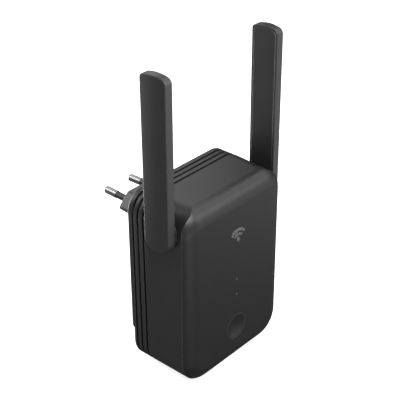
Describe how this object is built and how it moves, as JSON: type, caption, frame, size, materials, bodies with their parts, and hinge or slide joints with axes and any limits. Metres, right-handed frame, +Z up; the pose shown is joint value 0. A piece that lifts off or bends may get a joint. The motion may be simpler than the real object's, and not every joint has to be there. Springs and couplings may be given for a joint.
{
  "type": "plug-in wireless range extender",
  "caption": "Plug-in wireless range extender with folding flat antennas, a front push button, cooling ribs and a two-pin mains plug.",
  "frame": {"origin": "centre of the plug's engagement face, midway between the two pins", "axes": "+Y along the pins into the wall socket, +Z up with the antennas raised, +X to the right of someone facing the front, which looks towards -Y"},
  "size_m": [0.0826, 0.0835, 0.1691],
  "materials": {
    "housing_plastic": "fine moulded grain, charcoal",
    "antenna_plastic": "fine moulded grain, charcoal",
    "button_plastic": "fine moulded grain, charcoal",
    "pivot_plastic": "plain moulded, black",
    "plug_plastic": "satin moulded, charcoal",
    "sleeve_plastic": "satin insulating sleeve",
    "pin_metal": "nickel-plated brass",
    "label_film": "blank satin film",
    "emblem_gloss": "polished grey",
    "light_guide_clear": "frosted clear",
    "led_body": "resin",
    "black_component": "moulded epoxy",
    "jack_plastic": "moulded nylon",
    "board_laminate": "green solder mask",
    "can_metal": "tinned steel",
    "spreader_aluminium": "satin",
    "screw_steel": "zinc plated",
    "brass_parts": "plated",
    "pad_rubber": "soft silicone",
    "ferrite": "sintered ferrite",
    "winding_tape": "polyester tape",
    "capacitor_can": "printed-free sleeve",
    "lead_jacket": "thin coaxial jacket"
  },
  "bodies": {
    "housing": {"front_housing": "housing_plastic", "rear_housing": "housing_plastic", "rating_label": "label_film", "plug_body": "plug_plastic", "plug_pin_left": "pin_metal", "plug_pin_right": "pin_metal", "pin_sleeve_left": "sleeve_plastic", "pin_sleeve_right": "sleeve_plastic", "contact_clips": "brass_parts", "case_screws": "screw_steel", "board_screws": "screw_steel", "power_board_screws": "screw_steel", "front_emblem": "emblem_gloss", "light_guide": "light_guide_clear", "status_lights": "led_body", "switch_body": "black_component", "main_board": "board_laminate", "shield_can": "can_metal", "processor_chip": "black_component", "thermal_pad": "pad_rubber", "heat_spreader": "spreader_aluminium", "ethernet_jack": "jack_plastic", "jack_contacts": "brass_parts", "network_transformer": "black_component", "reset_switch": "black_component", "power_board": "board_laminate", "transformer_core": "ferrite", "transformer_winding": "winding_tape", "bulk_capacitors": "capacitor_can", "output_capacitors": "capacitor_can", "bridge_rectifier": "black_component", "input_fuse": "black_component", "board_link": "black_component", "coax_plugs": "brass_parts", "pivot_washer_left": "screw_steel", "pivot_washer_right": "screw_steel", "antenna_lead_left": "lead_jacket", "antenna_lead_right": "lead_jacket"},
    "left_antenna": {"antenna_shell_left": "antenna_plastic", "antenna_cover_left": "antenna_plastic", "antenna_board_left": "board_laminate", "antenna_pivot_left": "pivot_plastic", "pivot_clip_left": "screw_steel"},
    "right_antenna": {"antenna_shell_right": "antenna_plastic", "antenna_cover_right": "antenna_plastic", "antenna_board_right": "board_laminate", "antenna_pivot_right": "pivot_plastic", "pivot_clip_right": "screw_steel"},
    "button": {"pairing_button": "button_plastic", "switch_plunger": "jack_plastic"},
    "reset": {"reset_plunger": "jack_plastic"}
  },
  "joints": [
    {"name": "left_antenna_hinge", "type": "hinge", "parent": "housing", "child": "left_antenna", "pos_m": [-0.036, -0.04885, 0.0125], "axis": [1, 0, 0], "range_deg": [0, 180]},
    {"name": "right_antenna_hinge", "type": "hinge", "parent": "housing", "child": "right_antenna", "pos_m": [0.036, -0.04885, 0.0125], "axis": [1, 0, 0], "range_deg": [0, 180]},
    {"name": "button_press", "type": "slide", "parent": "housing", "child": "button", "axis": [0, 1, 0], "range_m": [0, 0.0004], "stiffness_N_per_m": 1500, "springref_m": -0.0002},
    {"name": "reset_press", "type": "slide", "parent": "housing", "child": "reset", "axis": [0, 0, 1], "range_m": [0, 0.0003], "stiffness_N_per_m": 800, "springref_m": -0.0002}
  ]
}
